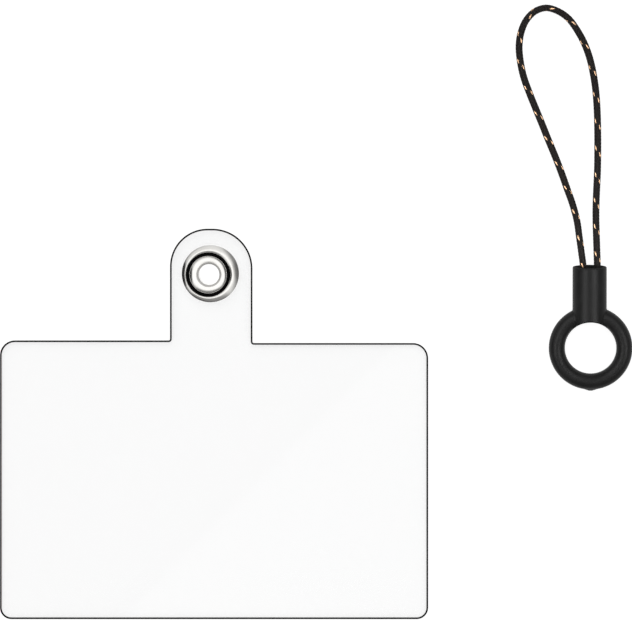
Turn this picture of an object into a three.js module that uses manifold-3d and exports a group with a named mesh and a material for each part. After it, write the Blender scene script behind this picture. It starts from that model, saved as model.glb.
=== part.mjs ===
// Phone end of a phone crossbody strap, laid out flat: a clear film tab with a metal eyelet,
// which slips between a phone and its case, and beside it a black braided cord loop whose two
// ends sit in the socket of a moulded plastic ring.
// Millimetres. +X runs right, +Y towards the tongue and the cord, +Z up, and the surface is z = 0.
// The origin is on the surface, below the middle of the tab and the ring taken together.

import * as THREE from 'three';
import { mergeVertices } from 'three/addons/utils/BufferGeometryUtils.js';
import Module from 'manifold-3d';

const wasm = await Module();
wasm.setup();

// Film tab
const TAB_WIDTH = 60;
const TAB_LENGTH = 54.7;
const LEFT_SHOULDER_HEIGHT = 39.05;
const RIGHT_SHOULDER_HEIGHT = 38.68;
const FILM_THICKNESS = 0.6;
const TOP_CORNER_RADIUS = 2.1;
const BOTTOM_CORNER_RADIUS = 1.6;
const TONGUE_WIDTH = 11.55;
const TONGUE_OFFSET = -0.39;
const TONGUE_ROOT_RADIUS = 0.2;
const RAMP_LENGTH = 7;

// Eyelet and its washer
const EYELET_FROM_TIP = 6.3;
const EYELET_OFF_TONGUE_MIDDLE = -0.12;
const EYELET_BORE_RADIUS = 1.46;
const BARREL_WALL = 0.3;
const FLANGE_RADIUS = 4;
const FLANGE_THICKNESS = 0.34;
const LIP_RADIUS = 2.6;
const LIP_HEIGHT = 0.5;
const WASHER_SHEET = 0.2;
const WASHER_HEIGHT = 0.46;
const WASHER_DISH_RADIUS = 3.12;
const METAL_EDGE_RADIUS = 0.12;

// Moulded ring and its neck
const RING_HOLE_RADIUS = 3.6;
const RING_BAND_WIDTH = 2.22;
const RING_THICKNESS = 2.8;
const NECK_RADIUS = 2.4;
const NECK_REACH = 11.4;
const MOUTH_ROUNDING = 0.3;
const SOCKET_RADIUS = 1.8;
const SOCKET_DEPTH = 4;
const GATE_NUB_WIDTH = 2.9;
const GATE_NUB_THICKNESS = 1.3;
const GATE_NUB_HEIGHT = 0.22;

// Cord
const CORD_DIAMETER = 1;

// Fits, and the places of the two groups on the surface
const FIT_GAP = 0.06;
const SPACE_BETWEEN_TAB_AND_RING = 16.93;
const RING_ABOVE_TAB_FOOT = 38;

// Facets
const LATHE_SEGMENTS = 48;
const ARC_STEPS = 8;
const EDGE_STEPS = 3;
const RAMP_STEPS = 8;
const BAND_SECTION_STEPS = 20;
const CORD_SIDES = 8;
const CORD_STEP = 2;

// Sizes that follow from the ones above
const SEAT_HEIGHT = FLANGE_THICKNESS + FIT_GAP;
const FILM_TOP_AT_EYELET = SEAT_HEIGHT + FILM_THICKNESS;
const BARREL_RADIUS = EYELET_BORE_RADIUS + BARREL_WALL;
const EYELET_X = TONGUE_OFFSET + EYELET_OFF_TONGUE_MIDDLE;
const EYELET_Y = TAB_LENGTH - EYELET_FROM_TIP;
const RING_RADIUS = RING_HOLE_RADIUS + RING_BAND_WIDTH;
const BAND_MIDDLE_RADIUS = RING_HOLE_RADIUS + RING_BAND_WIDTH / 2;
const RING_X = TAB_WIDTH / 2 + SPACE_BETWEEN_TAB_AND_RING + RING_RADIUS;

// The cord's route, as points from the ring's centre: out of the socket, down to the surface,
// round the loop and back. Heights are above the surface.
const CORD_ROUTE = [
  [-0.98, 7.66, 2.88],
  [-1.0, 9.5, 3.1],
  [-1.05, 11.4, 3.33],
  [-1.3, 13.35, 3.5],
  [-1.6, 15.55, 3.42],
  [-1.92, 17.8, 2.95],
  [-2.5, 20.05, 2.15],
  [-3.28, 22.3, 1.3],
  [-4.07, 24.55, 0.74],
  [-4.95, 26.85, 0.54],
  [-5.86, 29.05, 0.52],
  [-6.78, 31.35, 0.52],
  [-7.7, 33.6, 0.52],
  [-8.6, 35.85, 0.52],
  [-9.38, 38.05, 0.52],
  [-9.84, 40.25, 0.52],
  [-10.0, 42.35, 0.52],
  [-9.72, 44.25, 0.52],
  [-8.97, 45.97, 0.52],
  [-7.75, 47.18, 0.52],
  [-6.18, 47.65, 0.52],
  [-4.43, 47.13, 0.52],
  [-3.06, 46.14, 0.52],
  [-1.92, 44.62, 0.52],
  [-0.9, 42.77, 0.52],
  [-0.15, 40.76, 0.52],
  [0.35, 38.66, 0.52],
  [0.72, 36.25, 0.52],
  [0.92, 33.65, 0.52],
  [1.01, 30.65, 0.52],
  [1.02, 27.65, 0.54],
  [0.98, 24.85, 0.72],
  [0.86, 22.3, 1.3],
  [0.76, 20.05, 2.15],
  [0.74, 17.8, 2.95],
  [0.8, 15.55, 3.42],
  [0.87, 13.35, 3.5],
  [0.93, 11.4, 3.33],
  [0.98, 9.5, 3.1],
  [0.98, 7.66, 2.88],
];

const materials = {
  clearFilm: new THREE.MeshStandardMaterial({
    color: 0xf3f5f6, roughness: 0.12, metalness: 0, transparent: true, opacity: 0.3,
  }),
  nickel: new THREE.MeshStandardMaterial({ color: 0xd6d5d1, roughness: 0.16, metalness: 1 }),
  blackPlastic: new THREE.MeshStandardMaterial({ color: 0x2b2b2c, roughness: 0.42, metalness: 0 }),
  blackBraid: new THREE.MeshStandardMaterial({ color: 0x1f1f20, roughness: 0.85, metalness: 0 }),
};

// A closed geometry as a solid that can be joined and cut.
function solidFrom(geometry) {
  const bare = geometry.clone();
  bare.deleteAttribute('normal');
  bare.deleteAttribute('uv');
  const merged = mergeVertices(bare, 1e-4);
  const index = merged.index.array;
  const triangles = [];
  for (let i = 0; i < index.length; i += 3) {
    const [a, b, c] = [index[i], index[i + 1], index[i + 2]];
    if (a !== b && b !== c && c !== a) triangles.push(a, b, c);
  }
  return new wasm.Manifold(new wasm.Mesh({
    numProp: 3,
    vertProperties: new Float32Array(merged.attributes.position.array),
    triVerts: new Uint32Array(triangles),
  }));
}

// The geometry of a joined or cut solid.
function geometryFrom(solid) {
  const mesh = solid.getMesh();
  const geometry = new THREE.BufferGeometry();
  geometry.setAttribute('position', new THREE.BufferAttribute(mesh.vertProperties, 3));
  geometry.setIndex(new THREE.BufferAttribute(mesh.triVerts, 1));
  geometry.computeVertexNormals();
  return geometry;
}

// Points on an arc of the (radius, height) plane, ends included.
function arc(centreX, centreY, radiusX, radiusY, startAngle, endAngle, steps) {
  return Array.from({ length: steps + 1 }, (_, i) => {
    const angle = startAngle + ((endAngle - startAngle) * i) / steps;
    return new THREE.Vector2(centreX + radiusX * Math.cos(angle), centreY + radiusY * Math.sin(angle));
  });
}

// A body turned about +Z from a section that closes on itself.
function turned(section) {
  const geometry = new THREE.LatheGeometry([...section, section[0].clone()], LATHE_SEGMENTS);
  return geometry.rotateX(Math.PI / 2);
}

// The tab's outline seen from above: a wide body and a round-ended tongue.
function tabOutline() {
  const right = TAB_WIDTH / 2;
  const tongueRight = TONGUE_OFFSET + TONGUE_WIDTH / 2;
  const tongueLeft = TONGUE_OFFSET - TONGUE_WIDTH / 2;
  const tipCentreY = TAB_LENGTH - TONGUE_WIDTH / 2;
  const quarter = Math.PI / 2;
  const [foot, shoulder, root] = [BOTTOM_CORNER_RADIUS, TOP_CORNER_RADIUS, TONGUE_ROOT_RADIUS];
  const [leftTop, rightTop] = [LEFT_SHOULDER_HEIGHT, RIGHT_SHOULDER_HEIGHT];
  const shape = new THREE.Shape();
  shape.moveTo(-right + foot, 0);
  shape.lineTo(right - foot, 0);
  shape.absarc(right - foot, foot, foot, -quarter, 0, false);
  shape.lineTo(right, rightTop - shoulder);
  shape.absarc(right - shoulder, rightTop - shoulder, shoulder, 0, quarter, false);
  shape.lineTo(tongueRight + root, rightTop);
  shape.absarc(tongueRight + root, rightTop + root, root, -quarter, -2 * quarter, true);
  shape.lineTo(tongueRight, tipCentreY);
  shape.absarc(TONGUE_OFFSET, tipCentreY, TONGUE_WIDTH / 2, 0, quarter, false);
  shape.absarc(TONGUE_OFFSET, tipCentreY, TONGUE_WIDTH / 2, quarter, 2 * quarter, false);
  shape.lineTo(tongueLeft, leftTop + root);
  shape.absarc(tongueLeft - root, leftTop + root, root, 0, -quarter, true);
  shape.lineTo(-right + shoulder, leftTop);
  shape.absarc(-right + shoulder, leftTop - shoulder, shoulder, quarter, 2 * quarter, false);
  shape.lineTo(-right, foot);
  shape.absarc(-right + foot, foot, foot, 2 * quarter, 3 * quarter, false);
  return shape;
}

// The film's side profile as a block across the whole tab: flat under the body, then a gentle
// ramp up to the eyelet, whose flange lies between the film and the surface.
function filmSheet() {
  const rampEnd = EYELET_Y - FLANGE_RADIUS;
  const underside = [[-1, 0]];
  for (let i = 0; i <= RAMP_STEPS; i += 1) {
    const share = i / RAMP_STEPS;
    const rise = 0.5 - 0.5 * Math.cos(Math.PI * share);
    underside.push([rampEnd - RAMP_LENGTH * (1 - share), SEAT_HEIGHT * rise]);
  }
  underside.push([TAB_LENGTH + 1, SEAT_HEIGHT]);
  const topside = underside.map(([y, z]) => [y, z + FILM_THICKNESS]).reverse();
  const profile = new THREE.Shape([...underside, ...topside].map(([y, z]) => new THREE.Vector2(y, z)));
  const width = TAB_WIDTH + 2;
  const block = new THREE.ExtrudeGeometry(profile, { depth: width, bevelEnabled: false });
  const acrossX = new THREE.Matrix4().makeBasis(
    new THREE.Vector3(0, 1, 0), new THREE.Vector3(0, 0, 1), new THREE.Vector3(1, 0, 0),
  );
  return block.applyMatrix4(acrossX).translate(-width / 2, 0, 0);
}

// The clear film: the sheet cut to the tab's outline and punched for the eyelet's barrel.
function filmGeometry() {
  const depth = FILM_TOP_AT_EYELET + 2;
  const cutter = new THREE.ExtrudeGeometry(tabOutline(), {
    depth, bevelEnabled: false, curveSegments: ARC_STEPS,
  }).translate(0, 0, -1);
  const punch = new THREE.CylinderGeometry(
    BARREL_RADIUS + FIT_GAP, BARREL_RADIUS + FIT_GAP, depth, LATHE_SEGMENTS,
  ).rotateX(Math.PI / 2).translate(EYELET_X, EYELET_Y, FILM_TOP_AT_EYELET / 2);
  const film = solidFrom(cutter).intersect(solidFrom(filmSheet()));
  return geometryFrom(film.subtract(solidFrom(punch)));
}

// The eyelet: a flange under the film, a barrel through it and a lip rolled over the washer.
function eyeletGeometry() {
  const edge = METAL_EDGE_RADIUS;
  const lipFoot = FILM_TOP_AT_EYELET + FIT_GAP + WASHER_SHEET + FIT_GAP;
  const lipTop = lipFoot + LIP_HEIGHT;
  const lipMiddle = (EYELET_BORE_RADIUS + LIP_RADIUS) / 2;
  const lipHalf = LIP_RADIUS - lipMiddle;
  const section = [
    new THREE.Vector2(EYELET_BORE_RADIUS + edge, 0),
    ...arc(FLANGE_RADIUS - edge, edge, edge, edge, -Math.PI / 2, 0, EDGE_STEPS),
    new THREE.Vector2(FLANGE_RADIUS - edge, FLANGE_THICKNESS),
    new THREE.Vector2(BARREL_RADIUS, FLANGE_THICKNESS),
    new THREE.Vector2(BARREL_RADIUS, lipFoot),
    ...arc(lipMiddle, lipFoot, lipHalf, lipTop - lipFoot, 0, Math.PI, ARC_STEPS),
    new THREE.Vector2(EYELET_BORE_RADIUS, edge),
  ];
  return turned(section);
}

// The washer: a raised rim round a dish, in which the eyelet's lip lies.
function washerGeometry() {
  const foot = FILM_TOP_AT_EYELET + FIT_GAP;
  const dish = foot + WASHER_SHEET;
  const rimMiddle = (WASHER_DISH_RADIUS + FLANGE_RADIUS) / 2;
  const rimHalf = FLANGE_RADIUS - rimMiddle;
  const section = [
    new THREE.Vector2(BARREL_RADIUS + FIT_GAP, foot),
    new THREE.Vector2(FLANGE_RADIUS, foot),
    ...arc(rimMiddle, dish, rimHalf, WASHER_HEIGHT - WASHER_SHEET, 0, Math.PI, ARC_STEPS),
    new THREE.Vector2(BARREL_RADIUS + FIT_GAP, dish),
  ];
  return turned(section);
}

// How the ring lies: its band touches the surface at the far end and the thicker neck touches
// it beside the hole. Found by repeating the two contact conditions until they agree.
function restingPose() {
  const halfBand = RING_BAND_WIDTH / 2;
  const halfThickness = RING_THICKNESS / 2;
  let tilt = 0;
  for (let i = 0; i < 20; i += 1) {
    const bandReach = Math.hypot(halfBand * Math.sin(tilt), halfThickness * Math.cos(tilt));
    const rise = NECK_RADIUS * Math.cos(tilt) - bandReach;
    tilt = Math.asin(rise / (BAND_MIDDLE_RADIUS + RING_HOLE_RADIUS));
  }
  const bandReach = Math.hypot(halfBand * Math.sin(tilt), halfThickness * Math.cos(tilt));
  const height = BAND_MIDDLE_RADIUS * Math.sin(tilt) + bandReach;
  return { tilt, height };
}

// The neck with its blind socket, turned about +Y, with a rounded mouth.
function neckGeometry() {
  const round = MOUTH_ROUNDING;
  const outer = arc(NECK_RADIUS - round, NECK_REACH - round, round, round, 0, Math.PI / 2, EDGE_STEPS);
  const profile = [
    new THREE.Vector2(0, RING_HOLE_RADIUS / 2),
    new THREE.Vector2(NECK_RADIUS, RING_HOLE_RADIUS / 2),
    ...outer,
    new THREE.Vector2(SOCKET_RADIUS, NECK_REACH),
    new THREE.Vector2(SOCKET_RADIUS, NECK_REACH - SOCKET_DEPTH),
    new THREE.Vector2(0, NECK_REACH - SOCKET_DEPTH),
  ];
  return new THREE.LatheGeometry(profile, LATHE_SEGMENTS);
}

// The ring: a rounded band with the neck on one side and a low oval gate nub on the other.
function ringGeometry() {
  const halfBand = RING_BAND_WIDTH / 2;
  const band = turned(
    arc(BAND_MIDDLE_RADIUS, 0, halfBand, RING_THICKNESS / 2, 0, 2 * Math.PI, BAND_SECTION_STEPS).slice(0, -1),
  );
  const nubRoot = halfBand;
  const nubEdgeDrop = RING_RADIUS - Math.sqrt(RING_RADIUS ** 2 - (GATE_NUB_WIDTH / 2) ** 2);
  const nub = new THREE.LatheGeometry([
    new THREE.Vector2(0, -nubRoot),
    new THREE.Vector2(GATE_NUB_WIDTH / 2, -nubRoot),
    new THREE.Vector2(GATE_NUB_WIDTH / 2, -nubEdgeDrop),
    new THREE.Vector2(GATE_NUB_WIDTH / 6, GATE_NUB_HEIGHT * 0.8),
    new THREE.Vector2(0, GATE_NUB_HEIGHT),
  ], LATHE_SEGMENTS / 2).rotateX(Math.PI);
  nub.scale(1, 1, GATE_NUB_THICKNESS / GATE_NUB_WIDTH).translate(0, -RING_RADIUS, 0);
  const hole = new THREE.CylinderGeometry(
    RING_HOLE_RADIUS, RING_HOLE_RADIUS, 4 * NECK_RADIUS, LATHE_SEGMENTS,
  ).rotateX(Math.PI / 2);
  const body = solidFrom(band).add(solidFrom(neckGeometry())).add(solidFrom(nub));
  return geometryFrom(body.subtract(solidFrom(hole)));
}

// The cord: one round tube along its route.
function cordGeometry() {
  const path = new THREE.CatmullRomCurve3(
    CORD_ROUTE.map(([x, y, z]) => new THREE.Vector3(x, y, z)), false, 'centripetal',
  );
  const section = new THREE.Shape(Array.from({ length: CORD_SIDES }, (_, i) => {
    const angle = (2 * Math.PI * (i + 0.5)) / CORD_SIDES;
    return new THREE.Vector2(Math.cos(angle), Math.sin(angle)).multiplyScalar(CORD_DIAMETER / 2);
  }));
  return new THREE.ExtrudeGeometry(section, {
    steps: Math.round(path.getLength() / CORD_STEP), extrudePath: path, bevelEnabled: false,
  });
}

function piece(name, geometry, material) {
  const mesh = new THREE.Mesh(geometry, material);
  mesh.name = name;
  return mesh;
}

// The tab lies on the surface with its eyelet.
const tetherTab = new THREE.Group();
const eyelet = piece('eyelet', eyeletGeometry(), materials.nickel);
const washer = piece('eyelet_washer', washerGeometry(), materials.nickel);
for (const turnedPiece of [eyelet, washer]) turnedPiece.position.set(EYELET_X, EYELET_Y, 0);
tetherTab.add(piece('tether_tab', filmGeometry(), materials.clearFilm), eyelet, washer);

// The loop lies beside it, with its ring tipped a little onto the band's far end.
const cordLoop = new THREE.Group();
const pose = restingPose();
const ring = piece('ring', ringGeometry(), materials.blackPlastic);
ring.position.z = pose.height;
ring.rotation.x = pose.tilt;
cordLoop.position.set(RING_X, RING_ABOVE_TAB_FOOT, 0);
cordLoop.add(ring, piece('cord', cordGeometry(), materials.blackBraid));

// Both groups, moved so that the origin is under the middle of the tab and the ring.
const strap = new THREE.Group();
const leftEnd = -TAB_WIDTH / 2;
const rightEnd = RING_X + RING_RADIUS;
const farEnd = Math.max(TAB_LENGTH, RING_ABOVE_TAB_FOOT + NECK_REACH);
strap.position.set(-(leftEnd + rightEnd) / 2, -farEnd / 2, 0);
strap.add(tetherTab, cordLoop);
strap.updateMatrixWorld(true);

export default strap;
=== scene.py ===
"""Looks of the phone end of a phone crossbody strap, laid out flat on a pale surface.

A clear film tether tab with a metal eyelet lies beside a black braided cord loop, whose two ends
sit in a moulded plastic ring. Everything is in metres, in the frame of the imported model.
"""

import logging
import math
from dataclasses import dataclass
from enum import Enum
from typing import Any, Iterable, Protocol, Sequence

import bmesh
import bpy
import numpy as np
from mathutils import Matrix, Vector


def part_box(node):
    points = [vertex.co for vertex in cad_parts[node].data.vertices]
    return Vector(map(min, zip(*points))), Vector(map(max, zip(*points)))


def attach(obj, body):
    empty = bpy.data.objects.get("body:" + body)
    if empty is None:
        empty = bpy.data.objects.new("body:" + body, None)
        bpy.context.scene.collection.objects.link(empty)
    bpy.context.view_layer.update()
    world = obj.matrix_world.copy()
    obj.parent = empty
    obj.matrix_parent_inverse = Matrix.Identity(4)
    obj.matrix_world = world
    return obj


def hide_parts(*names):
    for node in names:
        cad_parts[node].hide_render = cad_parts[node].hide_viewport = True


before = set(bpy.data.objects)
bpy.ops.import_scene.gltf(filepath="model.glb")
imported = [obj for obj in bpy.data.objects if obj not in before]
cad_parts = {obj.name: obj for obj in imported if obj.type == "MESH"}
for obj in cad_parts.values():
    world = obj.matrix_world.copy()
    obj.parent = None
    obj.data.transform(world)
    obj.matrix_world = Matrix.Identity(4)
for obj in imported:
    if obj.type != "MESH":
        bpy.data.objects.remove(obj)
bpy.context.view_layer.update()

LOG = logging.getLogger("phone_strap")
MM = 0.001
BODY = "root"

# Points this close to each other are one, and a cut this close to a point goes through it
WELD = 0.001 * MM
CUT_WELD = 0.0001 * MM

# Sizes that the metal, the film and the ring share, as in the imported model
SEAT_HEIGHT = 0.40 * MM
FILM_THICKNESS = 0.60 * MM
FIT_GAP = 0.06 * MM
BORE_RADIUS = 1.46 * MM
BARREL_WALL = 0.30 * MM
FLANGE_RADIUS = 4.00 * MM
CORD_DIAMETER = 1.00 * MM

# The cord's route from the ring's centre on the surface, in millimetres: out of the socket, down
# to the surface, round the loop and back
CORD_ROUTE = [
    (-0.98, 7.66, 2.88),
    (-1.0, 9.5, 3.1),
    (-1.05, 11.4, 3.33),
    (-1.3, 13.35, 3.5),
    (-1.6, 15.55, 3.42),
    (-1.92, 17.8, 2.95),
    (-2.5, 20.05, 2.15),
    (-3.28, 22.3, 1.3),
    (-4.07, 24.55, 0.74),
    (-4.95, 26.85, 0.54),
    (-5.86, 29.05, 0.52),
    (-6.78, 31.35, 0.52),
    (-7.7, 33.6, 0.52),
    (-8.6, 35.85, 0.52),
    (-9.38, 38.05, 0.52),
    (-9.84, 40.25, 0.52),
    (-10.0, 42.35, 0.52),
    (-9.72, 44.25, 0.52),
    (-8.97, 45.97, 0.52),
    (-7.75, 47.18, 0.52),
    (-6.18, 47.65, 0.52),
    (-4.43, 47.13, 0.52),
    (-3.06, 46.14, 0.52),
    (-1.92, 44.62, 0.52),
    (-0.9, 42.77, 0.52),
    (-0.15, 40.76, 0.52),
    (0.35, 38.66, 0.52),
    (0.72, 36.25, 0.52),
    (0.92, 33.65, 0.52),
    (1.01, 30.65, 0.52),
    (1.02, 27.65, 0.54),
    (0.98, 24.85, 0.72),
    (0.86, 22.3, 1.3),
    (0.76, 20.05, 2.15),
    (0.74, 17.8, 2.95),
    (0.8, 15.55, 3.42),
    (0.87, 13.35, 3.5),
    (0.93, 11.4, 3.33),
    (0.98, 9.5, 3.1),
    (0.98, 7.66, 2.88),
]


class Slot(Enum):
    """The record's material slots."""

    FILM = "clear_film"
    NICKEL = "nickel_plate"
    PLASTIC = "black_plastic"
    BRAID = "black_braid"


class Value:
    """A number that runs through a node graph, for maths written as Python expressions."""

    def __init__(self, graph: "Graph", socket: bpy.types.NodeSocket) -> None:
        """Wraps a socket.

        Args:
            graph: The graph that the socket belongs to.
            socket: The output socket that gives the number.
        """
        self.graph = graph
        self.socket = socket

    def _maths(self, operation: str, first: Any, second: Any = None) -> "Value":
        """Adds one Math node.

        Args:
            operation: The node's operation.
            first: The first input, a number or a Value.
            second: The second input, where the operation has one.

        Returns:
            The node's result.
        """
        inputs = {0: first} if second is None else {0: first, 1: second}
        node = self.graph.node("ShaderNodeMath", {"operation": operation}, inputs)
        return Value(self.graph, node.outputs[0])

    def __add__(self, other: Any) -> "Value":
        """Returns self + other."""
        return self._maths("ADD", self, other)

    def __radd__(self, other: Any) -> "Value":
        """Returns other + self."""
        return self._maths("ADD", other, self)

    def __sub__(self, other: Any) -> "Value":
        """Returns self - other."""
        return self._maths("SUBTRACT", self, other)

    def __rsub__(self, other: Any) -> "Value":
        """Returns other - self."""
        return self._maths("SUBTRACT", other, self)

    def __mul__(self, other: Any) -> "Value":
        """Returns self * other."""
        return self._maths("MULTIPLY", self, other)

    def __rmul__(self, other: Any) -> "Value":
        """Returns other * self."""
        return self._maths("MULTIPLY", other, self)

    def size(self) -> "Value":
        """Returns self without its sign."""
        return self._maths("ABSOLUTE", self)

    def limited(self) -> "Value":
        """Returns self, held between 0 and 1."""
        node = self.graph.node("ShaderNodeClamp", inputs={0: self})
        return Value(self.graph, node.outputs[0])


class Graph:
    """A node tree that is filled by code."""

    def __init__(self, tree: bpy.types.NodeTree) -> None:
        """Empties a node tree.

        Args:
            tree: The tree of a material or a world.
        """
        self.tree = tree
        self.tree.nodes.clear()
        self.coordinates = self.node("ShaderNodeTexCoord")

    def node(self, kind: str, settings: dict[str, Any] | None = None,
             inputs: dict[Any, Any] | None = None) -> bpy.types.Node:
        """Adds a node.

        Args:
            kind: The node's type.
            settings: Its settings, set first. "stops" gives a colour ramp's stops.
            inputs: What its sockets are fed with, by the sockets' names or numbers.

        Returns:
            The new node.
        """
        node = self.tree.nodes.new(kind)
        for name, setting in (settings or {}).items():
            if name == "stops":
                self._stops(node.color_ramp, setting)
            else:
                setattr(node, name, setting)
        for name, value in (inputs or {}).items():
            self.feed(node.inputs[name], value)
        return node

    def _stops(self, ramp: bpy.types.ColorRamp, stops: Sequence[tuple[float, float]]) -> None:
        """Gives a colour ramp grey stops.

        Args:
            ramp: The ramp to fill.
            stops: Pairs of position and brightness.
        """
        while len(ramp.elements) < len(stops):
            ramp.elements.new(1.0)
        for element, (position, grey) in zip(ramp.elements, stops):
            element.position = position
            element.color = (grey, grey, grey, 1.0)

    def feed(self, socket: bpy.types.NodeSocket, value: Any) -> None:
        """Links a socket to a value's socket, or sets it.

        Args:
            socket: The input socket.
            value: A Value, an output socket, a number, a vector or a colour.
        """
        if isinstance(value, Value):
            self.tree.links.new(value.socket, socket)
        elif isinstance(value, bpy.types.NodeSocket):
            self.tree.links.new(value, socket)
        else:
            socket.default_value = value


class Shader(Graph):
    """One material with a Principled surface."""

    def __init__(self, name: str) -> None:
        """Makes the material.

        Args:
            name: The material's name.
        """
        self.material = bpy.data.materials.new(name)
        self.material.use_nodes = True
        super().__init__(self.material.node_tree)
        self.surface = self.node("ShaderNodeBsdfPrincipled")
        self.node("ShaderNodeOutputMaterial", inputs={"Surface": self.surface.outputs[0]})

    def set_surface(self, **sockets: Any) -> None:
        """Sets sockets of the Principled surface, with underscores for spaces."""
        for name, value in sockets.items():
            self.feed(self.surface.inputs[name.replace("_", " ")], value)

    def noise(self, scale: float, detail: float = 2.0, stretch: Sequence[float] = (1, 1, 1)) -> Value:
        """Adds noise on Object coordinates.

        Args:
            scale: The noise's scale, in cycles a metre.
            detail: Its octaves.
            stretch: How much the pattern is squeezed along each axis.

        Returns:
            The noise, from 0 to 1.
        """
        place = self.node("ShaderNodeMapping", inputs={
            "Vector": self.coordinates.outputs["Object"], "Scale": tuple(stretch)})
        noise = self.node("ShaderNodeTexNoise", inputs={
            "Vector": place.outputs[0], "Scale": scale, "Detail": detail})
        return Value(self, noise.outputs[0])

    def bump(self, height: Value, depth: float, strength: float) -> bpy.types.NodeSocket:
        """Adds a bump.

        Args:
            height: The height, from 0 to 1.
            depth: What a height of 1 stands for, in metres.
            strength: The bump's strength.

        Returns:
            The bumped normal.
        """
        bump = self.node("ShaderNodeBump", inputs={
            "Height": height, "Distance": depth, "Strength": strength})
        return bump.outputs[0]

    def blend(self, mask: Value, first: Sequence[float], second: Sequence[float]) -> bpy.types.NodeSocket:
        """Blends two colours by a mask.

        Args:
            mask: 0 for the first colour, 1 for the second.
            first: The first colour.
            second: The second colour.

        Returns:
            The blended colour.
        """
        mix = self.node("ShaderNodeMix", {"data_type": "RGBA"}, {
            0: mask, 6: (*first, 1.0), 7: (*second, 1.0)})
        return mix.outputs[2]


class Finish(Protocol):
    """What a piece, or a part of its faces, is finished with."""

    def material(self) -> bpy.types.Material:
        """Returns the finish."""


@dataclass(frozen=True)
class ClearFilm:
    """Clear flexible film: nearly invisible, with a soft gloss and a faint waviness."""

    tint: tuple[float, float, float] = (0.30, 0.31, 0.31)
    alpha: float = 0.095
    gloss: float = 0.02

    def material(self) -> bpy.types.Material:
        """Returns the finish."""
        shader = Shader("clear_film")
        wave = shader.noise(scale=90.0, detail=1.0)
        shader.set_surface(
            Base_Color=(*self.tint, 1.0), Alpha=self.alpha, IOR=1.5,
            Roughness=shader.noise(scale=900.0) * 0.03 + self.gloss,
            Normal=shader.bump(wave, depth=0.01 * MM, strength=0.3))
        return shader.material


@dataclass(frozen=True)
class DullDark:
    """A dark grey that throws back hardly any light, a little uneven in its roughness."""

    name: str
    grey: float
    specular: float
    grain: float
    roughness: float

    def material(self) -> bpy.types.Material:
        """Returns the finish."""
        shader = Shader(self.name)
        shader.set_surface(
            Base_Color=(self.grey, self.grey, self.grey, 1.0), Specular_IOR_Level=self.specular,
            Roughness=shader.noise(self.grain) * 0.2 + self.roughness)
        return shader.material


@dataclass(frozen=True)
class NickelPlate:
    """Bright nickel plate, slightly uneven from pressing, with fine handling marks."""

    name: str = "nickel_plate"
    bright: tuple[float, float, float] = (0.80, 0.79, 0.77)
    dull: tuple[float, float, float] = (0.66, 0.65, 0.62)
    gloss: float = 0.13

    def material(self) -> bpy.types.Material:
        """Returns the finish."""
        shader = Shader(self.name)
        wear = shader.noise(scale=1400.0, detail=4.0)
        uneven = shader.noise(scale=420.0, detail=1.0)
        marks = shader.noise(scale=5200.0, detail=3.0, stretch=(1.0, 0.35, 1.0))
        shader.set_surface(
            Base_Color=shader.blend(wear, self.bright, self.dull), Metallic=1.0,
            Roughness=marks * 0.10 + self.gloss,
            Normal=shader.bump(uneven, depth=0.03 * MM, strength=0.5))
        return shader.material


@dataclass(frozen=True)
class BlackPlastic:
    """Satin black moulded plastic with a fine texture."""

    dark: tuple[float, float, float] = (0.005, 0.005, 0.005)
    light: tuple[float, float, float] = (0.009, 0.009, 0.009)
    gloss: float = 0.33

    def material(self) -> bpy.types.Material:
        """Returns the finish."""
        shader = Shader("black_plastic")
        cloud = shader.noise(scale=600.0, detail=3.0)
        grain = shader.noise(scale=9000.0)
        shader.set_surface(
            Base_Color=shader.blend(cloud, self.dark, self.light), Specular_IOR_Level=0.07,
            Roughness=cloud * 0.14 + self.gloss,
            Normal=shader.bump(grain, depth=0.006 * MM, strength=0.5))
        return shader.material


@dataclass(frozen=True)
class Yarn:
    """A soft multifilament yarn of one colour."""

    name: str
    tint: tuple[float, float, float]
    shade: tuple[float, float, float]
    sheen: float = 0.015

    def material(self) -> bpy.types.Material:
        """Returns the finish."""
        shader = Shader(self.name)
        fibre = shader.noise(scale=26000.0)
        shader.set_surface(
            Base_Color=shader.blend(fibre, self.shade, self.tint),
            Roughness=fibre * 0.15 + 0.5, Specular_IOR_Level=0.12, Sheen_Weight=self.sheen,
            Sheen_Roughness=0.4,
            Normal=shader.bump(fibre, depth=0.012 * MM, strength=0.6))
        return shader.material


@dataclass(frozen=True)
class PaleSurface:
    """The white surface under the pieces, which is lit from below as well."""

    white: float = 0.50
    glow: float = 0.86

    def material(self) -> bpy.types.Material:
        """Returns the finish."""
        shader = Shader("pale_floor")
        shader.set_surface(
            Base_Color=(self.white, self.white, self.white, 1.0), Roughness=1.0,
            Specular_IOR_Level=0.0, Emission_Color=(1.0, 1.0, 1.0, 1.0), Emission_Strength=self.glow)
        return shader.material


# Painted shade: the film's cut edge, and a narrow band of its faces along it, are near-black for the light
# that is lost inside the film there
EDGE_PAINTED_SHADE = DullDark("film_edge_painted_shade", grey=0.003, specular=0.12, grain=3000.0, roughness=0.4)
# Painted shade and painted dark reflection: near-black metal deep in the washer's dish and at the lip's
# outer foot, where no light and no polish reaches
CREVICE_PAINTED_SHADE = DullDark("crevice_painted_shade", grey=0.003, specular=0.04, grain=4000.0, roughness=0.6)
# The unpolished plastic of the neck's end face and socket
DULL_MOUTH = DullDark("dull_mouth", grey=0.022, specular=0.01, grain=5000.0, roughness=0.7)
# The torn inner end of the eyelet's lip
TORN_NICKEL = NickelPlate("torn_nickel", bright=(0.60, 0.59, 0.57), dull=(0.46, 0.45, 0.43), gloss=0.42)
BLACK_YARN = Yarn("black_yarn", tint=(0.009, 0.007, 0.006), shade=(0.004, 0.003, 0.003))
TRACER_YARN = Yarn("tracer_yarn", tint=(0.82, 0.56, 0.36), shade=(0.74, 0.41, 0.21))


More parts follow.
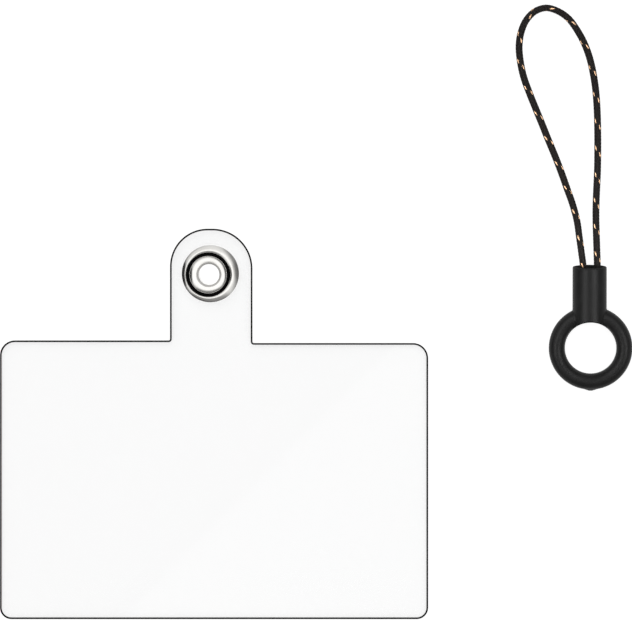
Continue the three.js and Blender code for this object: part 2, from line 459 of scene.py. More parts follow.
def arc(centre: tuple[float, float], radii: tuple[float, float], start: float, end: float,
        steps: int, fullness: float = 2.0) -> list[tuple[float, float]]:
    """Points on an arc.

    Args:
        centre: The arc's centre.
        radii: Its radii along the two axes.
        start: The first angle, in degrees.
        end: The last angle, in degrees.
        steps: The number of steps between them.
        fullness: 2 for a round arc, more for a squarer one.

    Returns:
        The points, ends included.
    """
    def eased(share: float) -> float:
        """Returns a cosine or sine, drawn out by the fullness."""
        return math.copysign(abs(share) ** (2 / fullness), share)

    angles = np.radians(np.linspace(start, end, steps + 1))
    return [(centre[0] + radii[0] * eased(math.cos(a)), centre[1] + radii[1] * eased(math.sin(a)))
            for a in angles]


def turned(mesh: bmesh.types.BMesh, section: Sequence[tuple[float, float]], axis: Vector,
           steps: int) -> None:
    """Turns a closed section a full round about an axis through the origin.

    Args:
        mesh: The mesh to add to.
        section: Points as (distance from the axis, place along it).
        axis: +Y or +Z.
        steps: The steps of the turn.
    """
    corners = [mesh.verts.new(Vector((r, 0, 0)) + axis * along) for r, along in section]
    edges = [mesh.edges.new((a, b)) for a, b in zip(corners, corners[1:] + corners[:1])]
    bmesh.ops.spin(mesh, geom=corners + edges, cent=(0, 0, 0), axis=axis, angle=math.tau,
                   steps=steps, use_merge=True)
    bmesh.ops.remove_doubles(mesh, verts=mesh.verts[:], dist=WELD)
    bmesh.ops.recalc_face_normals(mesh, faces=mesh.faces[:])


def new_piece(name: str, mesh: bmesh.types.BMesh, finishes: Iterable[Finish],
              crease: float = 35.0) -> bpy.types.Object:
    """Makes an object of a bmesh.

    Args:
        name: The object's name.
        mesh: The bmesh, which is freed.
        finishes: A finish for each material index.
        crease: The angle past which an edge stays sharp, in degrees.

    Returns:
        The object, at the origin.
    """
    data = bpy.data.meshes.new(name)
    for edge in mesh.edges:
        edge.smooth = len(edge.link_faces) == 2 and edge.calc_face_angle(0.0) < math.radians(crease)
    for face in mesh.faces:
        face.smooth = True
    mesh.to_mesh(data)
    mesh.free()
    for finish in finishes:
        data.materials.append(finish.material())
    piece = bpy.data.objects.new(name, data)
    bpy.context.scene.collection.objects.link(piece)
    return piece


def settle(piece: bpy.types.Object, slot: Slot, *nodes: str) -> bpy.types.Object:
    """Joins a piece to the frame in place of its nodes.

    Args:
        piece: The finished piece.
        slot: The record's slot for the piece. It is not used.
        nodes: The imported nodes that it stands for.

    Returns:
        The piece.
    """
    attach(piece, BODY)
    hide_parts(*nodes)
    LOG.info("%s stands for %s, %d faces", piece.name, ", ".join(nodes), len(piece.data.polygons))
    return piece


def apply_modifiers(piece: bpy.types.Object) -> None:
    """Makes a piece's modifiers part of its mesh."""
    graph = bpy.context.evaluated_depsgraph_get()
    shaped = bpy.data.meshes.new_from_object(piece.evaluated_get(graph))
    piece.modifiers.clear()
    old = piece.data
    piece.data = shaped
    bpy.data.meshes.remove(old)


@dataclass
class StudioCamera:
    """A long lens straight above, framed as the photo is."""

    image_width: int = 632
    image_height: int = 624
    pixels_per_mm: float = 7.135
    distance: float = 3.0
    sensor_width: float = 36.0
    clip_start: float = 0.01
    tab_left_pixel: float = 0.0
    tab_foot_pixel: float = 619.05

    def place(self) -> None:
        """Makes the scene's camera."""
        low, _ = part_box("tether_tab")
        scale = MM / self.pixels_per_mm
        middle_x = low.x + (self.image_width / 2 - self.tab_left_pixel) * scale
        middle_y = low.y + (self.tab_foot_pixel - self.image_height / 2) * scale
        lens = bpy.data.cameras.new("studio_camera")
        lens.sensor_fit = "HORIZONTAL"
        lens.sensor_width = self.sensor_width
        lens.lens = self.sensor_width * self.distance / (self.image_width * scale)
        lens.clip_start = self.clip_start
        camera = bpy.data.objects.new("studio_camera", lens)
        camera.location = (middle_x, middle_y, self.distance)
        bpy.context.scene.collection.objects.link(camera)
        bpy.context.scene.camera = camera


class CordRoute:
    """The smooth line that the cord follows, with its length worked out along it."""

    def __init__(self, points: Sequence[Vector], steps: int = 16) -> None:
        """Works out the line.

        Args:
            points: The route's points.
            steps: The samples between two points.
        """
        samples = [self._between(points, i, step / steps)
                   for i in range(len(points) - 1) for step in range(steps)]
        self.line = np.array([*samples, points[-1]])
        lengths = np.linalg.norm(np.diff(self.line, axis=0), axis=1)
        self.along = np.concatenate([[0.0], np.cumsum(lengths)])
        self.length = float(self.along[-1])

    @staticmethod
    def _between(points: Sequence[Vector], i: int, share: float) -> Vector:
        """A point of the centripetal Catmull-Rom curve between points i and i + 1.

        Args:
            points: The route's points.
            i: The stretch's first point.
            share: How far along the stretch, from 0 to 1.

        Returns:
            The point.
        """
        a, b = points[i], points[i + 1]
        before = points[i - 1] if i else a + (a - b)
        after = points[i + 2] if i + 2 < len(points) else b + (b - a)
        knots = [0.0]
        for start, end in ((before, a), (a, b), (b, after)):
            knots.append(knots[-1] + math.sqrt((end - start).length))
        t = knots[1] + share * (knots[2] - knots[1])
        low = [(p * (knots[k + 1] - t) + q * (t - knots[k])) / (knots[k + 1] - knots[k])
               for k, (p, q) in enumerate(((before, a), (a, b), (b, after)))]
        mid = [(low[k] * (knots[k + 2] - t) + low[k + 1] * (t - knots[k])) / (knots[k + 2] - knots[k])
               for k in range(2)]
        return (mid[0] * (knots[2] - t) + mid[1] * (t - knots[1])) / (knots[2] - knots[1])

    def bend(self) -> float:
        """Returns how far along the line its loop turns back."""
        return float(self.along[self.line[:, 1].argmax()])

    def frames(self, along: np.ndarray) -> tuple[np.ndarray, np.ndarray, np.ndarray]:
        """The line's place, side and up directions.

        Args:
            along: Distances along the line.

        Returns:
            Three arrays of vectors, one of each for each distance.
        """
        step = 0.05 * MM
        place, ahead, behind = (self._at(along + shift) for shift in (0.0, step, -step))
        forward = ahead - behind
        forward /= np.linalg.norm(forward, axis=1, keepdims=True)
        up = np.array([0.0, 0.0, 1.0]) - forward * forward[:, 2:3]
        up /= np.linalg.norm(up, axis=1, keepdims=True)
        return place, np.cross(up, forward), up

    def _at(self, along: np.ndarray) -> np.ndarray:
        """Points of the line at distances along it, carried on straight past its ends."""
        ends = [self.line[0] - self.line[1], self.line[-1] - self.line[-2]]
        ends = [end / np.linalg.norm(end) for end in ends]
        inside = np.clip(along, 0.0, self.length)
        points = np.stack([np.interp(inside, self.along, self.line[:, axis]) for axis in range(3)], 1)
        before = np.maximum(-along, 0.0)[:, None] * ends[0]
        return points + before + np.maximum(along - self.length, 0.0)[:, None] * ends[1]


@dataclass
class BraidedCord:
    """A round braid of sixteen yarns, eight each way, that pass over two and under two."""

    diameter: float = CORD_DIAMETER
    pitch: float = 3.81 * MM
    yarns_each_way: int = 8
    yarn_width: float = 0.275 * MM
    yarn_thickness: float = 0.15 * MM
    under_depth: float = 0.11 * MM
    core_radius: float = 0.33 * MM
    steps_per_pitch: int = 24
    core_steps: int = 220
    yarn_sides: int = 8
    core_sides: int = 12
    path_step: int = 4
    # The columns of crossings round the cord, and how steeply the yarns dive there. The dip keeps
    # the tracer, and the yarns that wind its way, under the others for a little longer
    columns: int = 4
    column_angle: float = -4.5
    steepness: float = 1.5
    tracer_start: float = 68.3
    tracer_dip: float = 0.46
    # The even twist, in degrees a metre, then the twist that the bend adds, in degrees, the
    # length that it is spread over, and the length that the bend takes up
    twist: float = 0.95 / MM
    bend_twist: float = 30.0
    bend_reach: float = 6.0 * MM
    bend_give: float = 0.50 * MM

    def build(self, ring_centre: Vector) -> bpy.types.Object:
        """Args:
            ring_centre: The ring's centre on the surface.

        Returns:
            The cord.
        """
        points = [ring_centre + Vector(point) * MM for point in CORD_ROUTE]
        route = CordRoute(points)
        mesh = bmesh.new()
        straight = route.length + self.bend_give
        for turn in (1, -1):
            self._join(mesh, self._yarns(straight, turn))
        self._join(mesh, self._core(straight))
        self._follow(mesh, route)
        piece = new_piece("braided_cord", mesh, (BLACK_YARN, TRACER_YARN), crease=80.0)
        settle(piece, Slot.BRAID, "cord")
        LOG.info("cord length %.1f mm", route.length / MM)
        return piece

    @staticmethod
    def _join(mesh: bmesh.types.BMesh, part: bmesh.types.BMesh) -> None:
        """Adds a part to a mesh and frees it.

        Args:
            mesh: The mesh to add to.
            part: The part.
        """
        carrier = bpy.data.meshes.new("carrier")
        part.to_mesh(carrier)
        part.free()
        mesh.from_mesh(carrier)
        bpy.data.meshes.remove(carrier)

    def _wound(self, section: Matrix, sides: int, length: float, steps: int,
               turns: float) -> bmesh.types.BMesh:
        """Winds a round section about +X, closed at both ends.

        Args:
            section: Places and shapes a circle 1 across for the start.
            sides: The circle's sides.
            length: How far it goes along +X.
            steps: The steps that it takes.
            turns: The turns that it makes, with their sign.

        Returns:
            The wound strand, in a mesh of its own.
        """
        strand = bmesh.new()
        ring = bmesh.ops.create_circle(strand, cap_ends=False, radius=0.5, segments=sides, matrix=section)
        start = ring["verts"]
        edges = list({edge for vert in start for edge in vert.link_edges})
        bmesh.ops.spin(strand, geom=start + edges, cent=(0, 0, 0), axis=(1, 0, 0),
                       dvec=(length / steps, 0, 0), angle=-turns * math.tau, steps=steps)
        rims = [edge for edge in strand.edges if edge.is_boundary]
        bmesh.ops.holes_fill(strand, edges=rims, sides=sides)
        bmesh.ops.recalc_face_normals(strand, faces=strand.faces[:])
        return strand

    def _yarns(self, length: float, turn: int) -> bmesh.types.BMesh:
        """Makes the yarns that wind one way, with their rise and fall over the others.

        Args:
            length: The cord's length.
            turn: 1 or -1, the way that the yarns wind.

        Returns:
            The yarns, in a mesh of their own. The tracer is the first that winds the way of 1.
        """
        middle = (self.diameter - self.yarn_thickness - self.under_depth) / 2
        lean = math.atan(math.tau * middle / self.pitch)
        spacing = math.tau / self.yarns_each_way
        column = math.radians(self.column_angle)
        tracer = math.radians(self.tracer_start)
        start = tracer if turn == 1 else 2 * column + spacing / 2 - tracer
        section = (Matrix.Rotation(-start, 4, "X")
                   @ Matrix.Translation((0.0, 0.0, middle))
                   @ Matrix.Rotation(turn * lean, 4, "Z")
                   @ Matrix.Rotation(math.pi / 2, 4, "Y")
                   @ Matrix.Diagonal((self.yarn_thickness, self.yarn_width, 1.0, 1.0)))
        turns = length / self.pitch
        steps = round(turns * self.steps_per_pitch)
        strand = self._wound(section, self.yarn_sides, length, steps, turn * turns)
        first = strand.verts[:] + strand.edges[:] + strand.faces[:]
        if turn == 1:
            for face in strand.faces:
                face.material_index = 1
        for yarn in range(1, self.yarns_each_way):
            copy = bmesh.ops.duplicate(strand, geom=first)["geom"]
            for part in copy:
                if isinstance(part, bmesh.types.BMFace):
                    part.material_index = 0
            verts = [part for part in copy if isinstance(part, bmesh.types.BMVert)]
            bmesh.ops.rotate(strand, verts=verts, cent=(0, 0, 0),
                             matrix=Matrix.Rotation(yarn * spacing, 3, "X"))
        for vert in strand.verts:
            angle = math.atan2(vert.co.y, vert.co.z)
            wave = math.cos(self.columns * (angle - column)) - self.tracer_dip
            lift = turn * max(-1.0, min(1.0, self.steepness * wave)) * self.under_depth / 2
            stretch = 1 + lift / math.hypot(vert.co.y, vert.co.z)
            vert.co.y *= stretch
            vert.co.z *= stretch
        return strand

    def _core(self, length: float) -> bmesh.types.BMesh:
        """Makes the plain core that the yarns lie round.

        Args:
            length: The cord's length.

        Returns:
            The core, in a mesh of its own.
        """
        section = (Matrix.Rotation(math.pi / 2, 4, "Y")
                   @ Matrix.Diagonal((2 * self.core_radius, 2 * self.core_radius, 1.0, 1.0)))
        return self._wound(section, self.core_sides, length, self.core_steps, 0.0)

    def _follow(self, mesh: bmesh.types.BMesh, route: CordRoute) -> None:
        """Lays a straight cord along +X on the route, with the twist and the squeeze of its bend.

        Args:
            mesh: The straight cord.
            route: The route.
        """
        straight = np.array([vert.co for vert in mesh.verts])
        past_bend = straight[:, 0] - route.bend()
        turned_round = np.tanh(past_bend / self.bend_reach)
        twist = np.radians(self.twist * past_bend + self.bend_twist * turned_round)[:, None]
        across = straight[:, 1:2] * np.cos(twist) + straight[:, 2:3] * np.sin(twist)
        height = straight[:, 2:3] * np.cos(twist) - straight[:, 1:2] * np.sin(twist)
        give = self.bend_give * (0.5 + 0.5 * np.tanh(2 * past_bend / self.bend_reach))
        place, side, up = route.frames(straight[:, 0] - give)
        laid = place + side * across + up * height
        for vert, point in zip(mesh.verts, laid):
            vert.co = point


@dataclass
class MouldedRing:
    """The ring with its neck, moulded in one: soft fillets, a rounded mouth and a gate nub."""

    hole_radius: float = 3.60 * MM
    band_width: float = 2.22 * MM
    thickness: float = 2.80 * MM
    neck_radius: float = 2.40 * MM
    neck_reach: float = 11.40 * MM
    neck_offset: float = -0.15 * MM
    swell: float = 0.05 * MM
    mouth_rounding: float = 0.10 * MM
    mouth_lip: float = 0.10 * MM
    socket_radius: float = 1.80 * MM
    socket_depth: float = 4.00 * MM
    nub_width: float = 2.90 * MM
    nub_thickness: float = 1.30 * MM
    nub_height: float = 0.22 * MM
    neck_end_slope: float = 0.30 * MM
    # The nub's tip radius as a share of its width, its depth as a share of the band's width, and
    # half the height of the tool that cuts the neck as a share of the neck's radius
    nub_tip: float = 1 / 12
    nub_depth: float = 1 / 4
    tool_reach: float = 1.2
    # The fusing of band, neck and nub: what its smoothing takes off the neck's end is added first
    voxel: float = 0.08 * MM
    smoothing: int = 8
    smoothing_loss: float = 0.07 * MM
    band_steps: int = 128
    section_steps: int = 40
    neck_steps: int = 96
    nub_steps: int = 32

    def tilt(self) -> float:
        """Returns the angle at which the ring lies on its band's far end and its neck."""
        middle = self.hole_radius + self.band_width / 2
        tilt = 0.0
        # Each round starts from the angle that the round before it found
        for _ in range(20):
            reach = math.hypot(self.band_width / 2 * math.sin(tilt), self.thickness / 2 * math.cos(tilt))
            tilt = math.asin((self.neck_radius * math.cos(tilt) - reach) / (middle + self.hole_radius))
        return tilt

    def centre(self) -> Vector:
        """Returns the middle of the ring's hole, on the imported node."""
        low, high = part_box("ring")
        tilt = self.tilt()
        tip = self.hole_radius + self.band_width + self.nub_height
        height = self.neck_radius * math.cos(tilt) - self.hole_radius * math.sin(tilt)
        return Vector(((low.x + high.x) / 2, low.y + tip * math.cos(tilt), height))

    def build(self) -> bpy.types.Object:
        """Makes the ring.

        Returns:
            The ring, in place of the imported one.
        """
        mesh = bmesh.new()
        mesh.from_mesh(self._neck())
        width = self.band_width + self.swell
        middle = self.hole_radius + width / 2
        section = arc((middle, 0), (width / 2, self.thickness / 2), 0, 360, self.section_steps)[:-1]
        turned(mesh, section, Vector((0, 0, 1)), self.band_steps)
        self._nub(mesh)
        piece = new_piece("moulded_ring", mesh, (BlackPlastic(), DULL_MOUTH), crease=180.0)
        fuse = piece.modifiers.new("fuse", "REMESH")
        fuse.mode = "VOXEL"
        fuse.voxel_size = self.voxel
        fuse.use_smooth_shade = True
        ease = piece.modifiers.new("ease", "SMOOTH")
        ease.factor = 0.5
        ease.iterations = self.smoothing
        apply_modifiers(piece)
        self._dull_mouth(piece.data)
        pose = Matrix.Translation(self.centre()) @ Matrix.Rotation(self.tilt(), 4, "X")
        piece.data.transform(pose)
        return settle(piece, Slot.PLASTIC, "ring")

    def _neck(self) -> bpy.types.Mesh:
        """The neck turned about +Y with its socket, cut round by the ring's hole.

        Returns:
            The neck's mesh.
        """
        reach = self.neck_reach + self.smoothing_loss
        mouth = arc((self.neck_radius - self.mouth_rounding, reach - self.mouth_rounding),
                    (self.mouth_rounding, self.mouth_rounding), 0, 90, steps=6)
        inner = arc((self.socket_radius + self.mouth_lip, reach - self.mouth_lip),
                    (self.mouth_lip, self.mouth_lip), 90, 180, steps=4)
        section = [
            (0, self.hole_radius / 2),
            (self.neck_radius, self.hole_radius / 2),
            *mouth,
            *inner,
            (self.socket_radius, self.neck_reach - self.socket_depth),
            (0, self.neck_reach - self.socket_depth),
        ]
        body = bmesh.new()
        turned(body, section, Vector((0, 1, 0)), self.neck_steps)
        bmesh.ops.translate(body, verts=body.verts, vec=(self.neck_offset, 0, 0))
        neck = new_piece("neck_blank", body, ())
        tool = bmesh.new()
        wide = self.hole_radius + self.neck_end_slope
        top = self.tool_reach * self.neck_radius
        waist = [(0, -top), (wide, -top), (self.hole_radius, 0), (wide, top), (0, top)]
        turned(tool, waist, Vector((0, 0, 1)), self.band_steps)
        cutter = new_piece("hole_cutter", tool, ())
        cut = neck.modifiers.new("hole", "BOOLEAN")
        cut.operation = "DIFFERENCE"
        cut.solver = "EXACT"
        cut.object = cutter
        apply_modifiers(neck)
        shape = neck.data
        for helper in (neck, cutter):
            bpy.data.objects.remove(helper)
        return shape

    def _dull_mouth(self, data: bpy.types.Mesh) -> None:
        """Gives the neck's end face and its socket their dull finish.

        Args:
            data: The fused mesh, before it is tilted.
        """
        places = np.empty(3 * len(data.polygons))
        data.polygons.foreach_get("center", places)
        across, along, height = places.reshape(-1, 3).T
        radius = np.hypot(across - self.neck_offset, height)
        end_face = (along > self.neck_reach - self.mouth_rounding) & (radius < self.neck_radius - self.voxel)
        socket_foot = self.neck_reach - self.socket_depth - self.voxel
        socket = (along > socket_foot) & (radius < self.socket_radius + self.mouth_lip)
        data.polygons.foreach_set("material_index", (end_face | socket).astype(np.int32))

    def _nub(self, mesh: bmesh.types.BMesh) -> None:
        """Adds the low oval nub that the mould's gate leaves on the band's far end.

        Args:
            mesh: The mesh to add to.
        """
        outer = self.hole_radius + self.band_width
        half = self.nub_width / 2
        tip = self.nub_tip * self.nub_width
        fall = (self.nub_height + outer - math.sqrt(outer ** 2 - half ** 2)) / (half - tip)
        depth = self.nub_depth * self.band_width
        nub = bmesh.ops.create_cone(mesh, cap_ends=True, segments=self.nub_steps,
                                    radius1=tip + depth / fall, radius2=tip, depth=depth)["verts"]
        turn = (Matrix.Translation((0, -outer - self.nub_height + depth / 2, 0))
                @ Matrix.Rotation(math.pi / 2, 4, "X")
                @ Matrix.Diagonal((1.0, self.nub_thickness / self.nub_width, 1.0, 1.0)))
        bmesh.ops.transform(mesh, matrix=turn, verts=nub)


@dataclass
class Eyelet:
    """The pressed metal eyelet and the dished washer that its lip is rolled over."""

    lip_radius: float = 2.68 * MM
    torn_radius: float = 1.74 * MM
    lip_height: float = 0.50 * MM
    lip_fullness: float = 2.5
    lip_shadow: float = 0.05 * MM
    flange_thickness: float = 0.34 * MM
    washer_sheet: float = 0.20 * MM
    washer_height: float = 0.46 * MM
    dish_radius: float = 3.03 * MM
    # Within this radius the dish is painted near-black, as shade
    dish_shade_radius: float = 2.98 * MM
    rim_crest: float = 3.36 * MM
    rim_fullness: float = 1.5
    rim_steps: int = 16
    bore_slope: float = 34.0
    edge: float = 0.12 * MM
    foot_margin: float = 0.01 * MM
    steps: int = 128
    bore_shift: tuple[float, float] = (-0.19 * MM, -0.12 * MM)
    lip_shift: tuple[float, float] = (-0.31 * MM, -0.14 * MM)

    def _place(self, mesh: bmesh.types.BMesh, foot: float) -> None:
        """Moves a turned body to the eyelet's place in the tongue.

        The press has rolled the lip a little off the flange's middle, so what lies above the foot
        is shifted: most at the lip's edge and the dish, less at the bore, not at all at the rim.

        Args:
            mesh: The body, turned about the origin.
            foot: The height where the shift starts.
        """
        for vert in mesh.verts:
            if vert.co.z > foot:
                radius = math.hypot(vert.co.x, vert.co.y)
                stops = [BORE_RADIUS, self.lip_radius, self.dish_radius, FLANGE_RADIUS]
                shifts = [self.bore_shift, self.lip_shift, self.lip_shift, (0.0, 0.0)]
                vert.co.x += np.interp(radius, stops, [shift[0] for shift in shifts])
                vert.co.y += np.interp(radius, stops, [shift[1] for shift in shifts])
        low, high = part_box("eyelet")
        middle = (low + high) / 2
        bmesh.ops.translate(mesh, verts=mesh.verts, vec=(middle.x, middle.y, 0))

    def build_eyelet(self) -> None:
        """Makes the flange, barrel and rolled lip."""
        barrel = BORE_RADIUS + BARREL_WALL
        lip_foot = SEAT_HEIGHT + FILM_THICKNESS + FIT_GAP + self.washer_sheet + FIT_GAP
        middle = (BORE_RADIUS + self.lip_radius) / 2
        inner_reach = (middle - BORE_RADIUS) / math.sin(math.radians(self.bore_slope))
        section = [
            (BORE_RADIUS + self.edge, 0),
            *arc((FLANGE_RADIUS - self.edge, self.edge), (self.edge, self.edge), -90, 60, steps=8),
            (FLANGE_RADIUS - 2 * self.edge, self.flange_thickness),
            (barrel, self.flange_thickness),
            (barrel, lip_foot),
            *arc((middle, lip_foot), (self.lip_radius - middle, self.lip_height), 0, 90,
                 steps=24, fullness=self.lip_fullness),
            *arc((middle, lip_foot), (inner_reach, self.lip_height), 90, 90 + self.bore_slope,
                 steps=16)[1:],
            (BORE_RADIUS, self.edge),
        ]
        mesh = bmesh.new()
        turned(mesh, section, Vector((0, 0, 1)), self.steps)
        for face in mesh.faces:
            place = face.calc_center_median()
            radius = math.hypot(place.x, place.y)
            # The lip's outermost edge, above the flange, is painted near-black as shade
            if place.z > self.flange_thickness and radius > self.lip_radius - self.lip_shadow:
                face.material_index = 1
            elif place.z > lip_foot and radius < self.torn_radius:
                face.material_index = 2
        self._place(mesh, self.flange_thickness)
        piece = new_piece("rolled_eyelet", mesh, (NickelPlate(), CREVICE_PAINTED_SHADE, TORN_NICKEL))
        settle(piece, Slot.NICKEL, "eyelet")

    def build_washer(self) -> None:
        """Makes the washer with its raised rim, and its dish painted near-black as shade."""
        inner = BORE_RADIUS + BARREL_WALL + FIT_GAP
        foot = SEAT_HEIGHT + FILM_THICKNESS + FIT_GAP
        dish = foot + self.washer_sheet
        rise = self.washer_height - self.washer_sheet
        shares = np.linspace(1.0, 0.0, self.rim_steps + 1)
        slope = [(self.rim_crest + (FLANGE_RADIUS - self.rim_crest) * share,
                  dish + rise * (1 - share ** self.rim_fullness)) for share in shares]
        section = [
            (inner, foot),
            (FLANGE_RADIUS - self.edge / 2, foot),
            (FLANGE_RADIUS, foot + self.edge / 2),
            *slope,
            *arc((self.rim_crest, dish), (self.rim_crest - self.dish_radius, rise), 90, 180, steps=12)[1:],
            (inner, dish),
        ]
        mesh = bmesh.new()
        turned(mesh, section, Vector((0, 0, 1)), self.steps)
        above_foot = foot + self.foot_margin
        # The dish's faces near the barrel are painted near-black, as shade
        for face in mesh.faces:
            place = face.calc_center_median()
            in_shaded_dish = math.hypot(place.x, place.y) < self.dish_shade_radius
            face.material_index = int(in_shaded_dish and place.z > above_foot)
        self._place(mesh, above_foot)
        piece = new_piece("dished_washer", mesh, (NickelPlate(), CREVICE_PAINTED_SHADE))
        settle(piece, Slot.NICKEL, "eyelet_washer")


@dataclass
class TetherTab:
    """The clear film tab: a wide body, a round-ended tongue and a punched hole."""

    left_shoulder: float = 39.05 * MM
    right_shoulder: float = 38.68 * MM
    tongue_width: float = 11.55 * MM
    tongue_offset: float = -0.39 * MM
    tip_left_radius: float = 5.25 * MM
    tip_right_radius: float = 5.60 * MM
    foot_radius: float = 1.60 * MM
    shoulder_radius: float = 2.10 * MM
    root_radius: float = 0.20 * MM
    ramp_length: float = 7.00 * MM
    # The width of the band of painted shade along the film's edge
    edge_shade_band: float = 0.235 * MM
    ramp_steps: int = 16
    tip_steps: int = 48
    corner_steps: int = 12
    hole_steps: int = 64
    level: float = 0.99999

    def build(self) -> None:
        """Makes the film."""
        low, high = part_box("tether_tab")
        mesh = bmesh.new()
        self._outline(mesh, low, high)
        self._punch(mesh)
        eyelet_low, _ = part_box("eyelet")
        ramp_end = eyelet_low.y
        ramp_start = ramp_end - self.ramp_length
        for cut in np.linspace(ramp_start, ramp_end, self.ramp_steps + 1):
            bmesh.ops.bisect_plane(mesh, geom=mesh.verts[:] + mesh.edges[:] + mesh.faces[:],
                                   plane_co=(0, cut, 0), plane_no=(0, 1, 0), dist=CUT_WELD)
        sheet = bmesh.ops.extrude_face_region(mesh, geom=mesh.faces[:], use_keep_orig=True)["geom"]
        top = [part for part in sheet if isinstance(part, bmesh.types.BMVert)]
        bmesh.ops.translate(mesh, verts=top, vec=(0, 0, FILM_THICKNESS))
        bmesh.ops.recalc_face_normals(mesh, faces=mesh.faces[:])
        # The side walls are painted near-black, as the shade of the cut edge
        for face in mesh.faces:
            if abs(face.normal.z) < 0.5:
                face.material_index = 1
        for vert in mesh.verts:
            share = min(1.0, max(0.0, (vert.co.y - ramp_start) / self.ramp_length))
            vert.co.z += SEAT_HEIGHT * (0.5 - 0.5 * math.cos(math.pi * share))
        piece = new_piece("film_tab", mesh, (ClearFilm(), EDGE_PAINTED_SHADE), crease=30.0)
        # Level faces are shaded flat, so that their long triangles leave no streaks
        for face in piece.data.polygons:
            face.use_smooth = abs(face.normal.z) < self.level
        settle(piece, Slot.FILM, "tether_tab")

    def _outline(self, mesh: bmesh.types.BMesh, low: Vector, high: Vector) -> None:
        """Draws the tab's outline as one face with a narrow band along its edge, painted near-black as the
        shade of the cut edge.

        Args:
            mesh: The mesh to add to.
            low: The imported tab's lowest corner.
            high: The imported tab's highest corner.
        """
        middle = (low.x + high.x) / 2 + self.tongue_offset
        left, right = middle - self.tongue_width / 2, middle + self.tongue_width / 2
        left_top, right_top = low.y + self.left_shoulder, low.y + self.right_shoulder
        places = [
            (low.x, low.y, self.foot_radius), (high.x, low.y, self.foot_radius),
            (high.x, right_top, self.shoulder_radius), (right, right_top, self.root_radius),
            (right, high.y, self.tip_right_radius), (left, high.y, self.tip_left_radius),
            (left, left_top, self.root_radius), (low.x, left_top, self.shoulder_radius),
        ]
        corners = [mesh.verts.new((x, y, 0)) for x, y, _ in places]
        mesh.faces.new(corners)
        for corner, (_, _, radius) in zip(corners, places):
            steps = self.tip_steps if radius > self.shoulder_radius else self.corner_steps
            bmesh.ops.bevel(mesh, geom=[corner], offset=radius, offset_type="OFFSET",
                            segments=steps, profile=0.5, affect="VERTICES", material=-1)
        bmesh.ops.remove_doubles(mesh, verts=mesh.verts[:], dist=WELD)
        band = bmesh.ops.inset_region(mesh, faces=mesh.faces[:], thickness=self.edge_shade_band,
                                      use_boundary=True, use_even_offset=True)["faces"]
        # The band along the edge is painted near-black, as the shade of the cut edge
        for face in band:
            face.material_index = 1

    def _punch(self, mesh: bmesh.types.BMesh) -> None:
        """Opens the hole that the eyelet's barrel goes through.

        Args:
            mesh: The flat tab.
        """
        eyelet_low, eyelet_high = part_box("eyelet")
        middle = (eyelet_low + eyelet_high) / 2
        whole = max(mesh.faces, key=lambda face: face.calc_area())
        rim = list(whole.edges)
        bmesh.ops.delete(mesh, geom=[whole], context="FACES_ONLY")
        hole = bmesh.ops.create_circle(
            mesh, cap_ends=False, radius=BORE_RADIUS + BARREL_WALL + FIT_GAP,
            segments=self.hole_steps, matrix=Matrix.Translation((middle.x, middle.y, 0)))["verts"]
        rim += list({edge for vert in hole for edge in vert.link_edges})
        bmesh.ops.triangle_fill(mesh, use_beauty=True, edges=rim, normal=(0, 0, 1))


@dataclass(frozen=True)
class SoftLight:
    """A soft box that lights the black pieces alone, so that the metal and the film stay even."""

    name: str
    offset: tuple[float, float, float]
    power: float
    size: tuple[float, float] = (0.35, 0.50)
    spread: float = 180.0

    def build(self, target: Vector, lit: bpy.types.Collection) -> None:
        """Makes the light.

        Args:
            target: Where it points, and where its offset counts from.
            lit: The pieces that it lights.
        """
        light = bpy.data.lights.new(self.name, "AREA")
        light.shape = "RECTANGLE"
        light.size, light.size_y = self.size
        light.energy = self.power
        light.spread = math.radians(self.spread)
        lamp = bpy.data.objects.new(self.name, light)
        offset = Vector(self.offset)
        aim = (-offset).to_track_quat("-Z", "Y").to_matrix().to_4x4()
        lamp.matrix_world = Matrix.Translation(target + offset) @ aim
        bpy.context.scene.collection.objects.link(lamp)
        lamp.light_linking.receiver_collection = lit


@dataclass(frozen=True)
class DarkSide:
    """A dark part of the room, as the metal mirrors it.

    It starts some way out from straight up, towards the side that (right, back) points to, and can
    be a wedge that opens outwards.
    """

    right: float
    back: float
    start: float
    shade: float
    narrowing: float = 0.0
    centre: float = 0.0
    sharpness: float = 5.0

    def passes(self, right: Value, back: Value) -> Value:
        """Works out how much of the room's light is left.

        Args:
            right: The part of the direction that goes to the right.
            back: The part of it that goes to the back.

        Returns:
            1 outside the dark part, down to 1 - shade within it.
        """
        along = self.right * right + self.back * back
        across = self.right * back - self.back * right
        inside = along - self.start - self.narrowing * (across - self.centre).size()
        return 1.0 - self.shade * (inside * self.sharpness).limited()


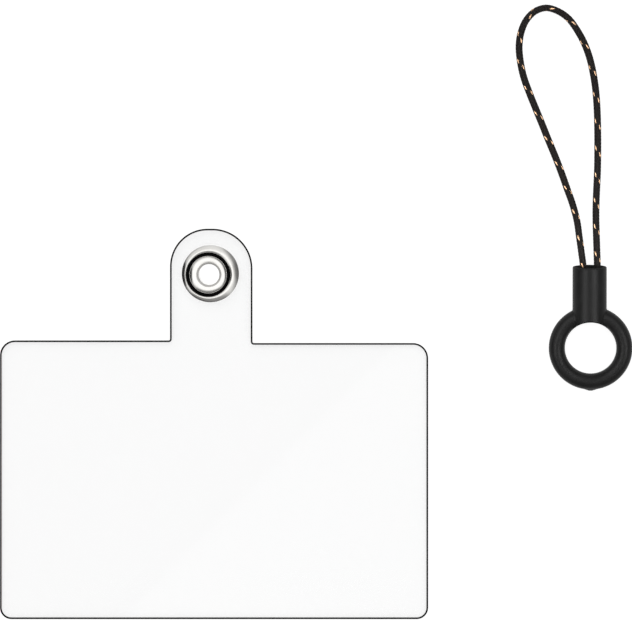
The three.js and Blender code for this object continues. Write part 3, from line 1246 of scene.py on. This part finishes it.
@dataclass
class Studio:
    """The pale surface, lit from below as well, the soft light and the room round them."""

    floor_size: float = 12.0
    floor_drop: float = 0.03 * MM
    room_light: float = 1.5
    light_target: tuple[float, float, float] = (0.0, 0.015, 0.0)
    neck_inset: float = 4.00 * MM
    # How bright the room is at each height, from the horizon to straight up
    brightness: tuple[tuple[float, float], ...] = (
        (0.10, 0.05), (0.36, 0.27), (0.60, 0.62), (0.85, 0.68), (0.97, 0.97))
    wide_boxes: tuple[SoftLight, ...] = (
        SoftLight("left_box", offset=(-0.45, 0.365, 0.68), power=3.4),
        SoftLight("right_box", offset=(0.44, 0.365, 0.69), power=2.6),
    )
    # The small boxes that put the two streaks on the ring's neck
    neck_boxes: tuple[SoftLight, ...] = (
        SoftLight("neck_left_box", offset=(-0.057, -0.022, 0.092), power=0.011,
                  size=(0.03, 0.07), spread=60.0),
        SoftLight("neck_right_box", offset=(0.064, -0.022, 0.092), power=0.014,
                  size=(0.03, 0.07), spread=60.0),
    )
    # To the left, far to the right, a narrow wedge to the right, and in front
    dark_sides: tuple[DarkSide, ...] = (
        DarkSide(right=-1.0, back=0.0, start=0.18, shade=0.95, narrowing=1.4),
        DarkSide(right=0.97, back=0.26, start=0.42, shade=0.70),
        DarkSide(right=1.0, back=0.0, start=0.06, shade=0.45, narrowing=2.0, centre=0.08),
        DarkSide(right=0.0, back=-1.0, start=0.04, shade=0.65, narrowing=0.8, sharpness=4.0),
    )

    def build(self, black_pieces: Sequence[bpy.types.Object]) -> None:
        """Makes the floor, the room and the lights.

        Args:
            black_pieces: The pieces that the soft boxes light.
        """
        self._floor()
        self._room()
        lit = bpy.data.collections.new("lit_by_boxes")
        for piece in black_pieces:
            lit.objects.link(piece)
        for light in self.wide_boxes:
            light.build(Vector(self.light_target), lit)
        low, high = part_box("ring")
        neck = Vector(((low.x + high.x) / 2, high.y - self.neck_inset, high.z))
        for light in self.neck_boxes:
            light.build(neck, lit)

    def _floor(self) -> None:
        """Makes the floor."""
        mesh = bmesh.new()
        bmesh.ops.create_grid(mesh, x_segments=1, y_segments=1, size=self.floor_size / 2,
                              matrix=Matrix.Translation((0, 0, -self.floor_drop)))
        floor = new_piece("pale_floor", mesh, (PaleSurface(),))

    def _room(self) -> None:
        """Makes the light of the room: bright overhead, dim low down and on its dark sides."""
        world = bpy.data.worlds.new("room")
        world.use_nodes = True
        bpy.context.scene.world = world
        graph = Graph(world.node_tree)
        split = graph.node("ShaderNodeSeparateXYZ", inputs={0: graph.coordinates.outputs["Generated"]})
        right, back, up = (Value(graph, socket) for socket in split.outputs)
        ramp = graph.node("ShaderNodeValToRGB", {"stops": self.brightness}, {0: up})
        light = Value(graph, ramp.outputs[0])
        for side in self.dark_sides:
            light = light * side.passes(right, back)
        back_light = graph.node("ShaderNodeBackground", inputs={
            "Color": light, "Strength": self.room_light})
        graph.node("ShaderNodeOutputWorld", inputs={0: back_light.outputs[0]})


def main() -> None:
    """Builds the camera, the cord and the other pieces."""
    logging.basicConfig(level=logging.INFO, format="%(name)s: %(message)s")
    scene = bpy.context.scene
    scene.view_settings.view_transform = "Standard"
    StudioCamera().place()
    ring = MouldedRing()
    centre = ring.centre()
    black_pieces = (BraidedCord().build(Vector((centre.x, centre.y, 0.0))), ring.build())
    eyelet = Eyelet()
    eyelet.build_eyelet()
    eyelet.build_washer()
    TetherTab().build()
    Studio().build(black_pieces)


if __name__ == "__main__":
    main()
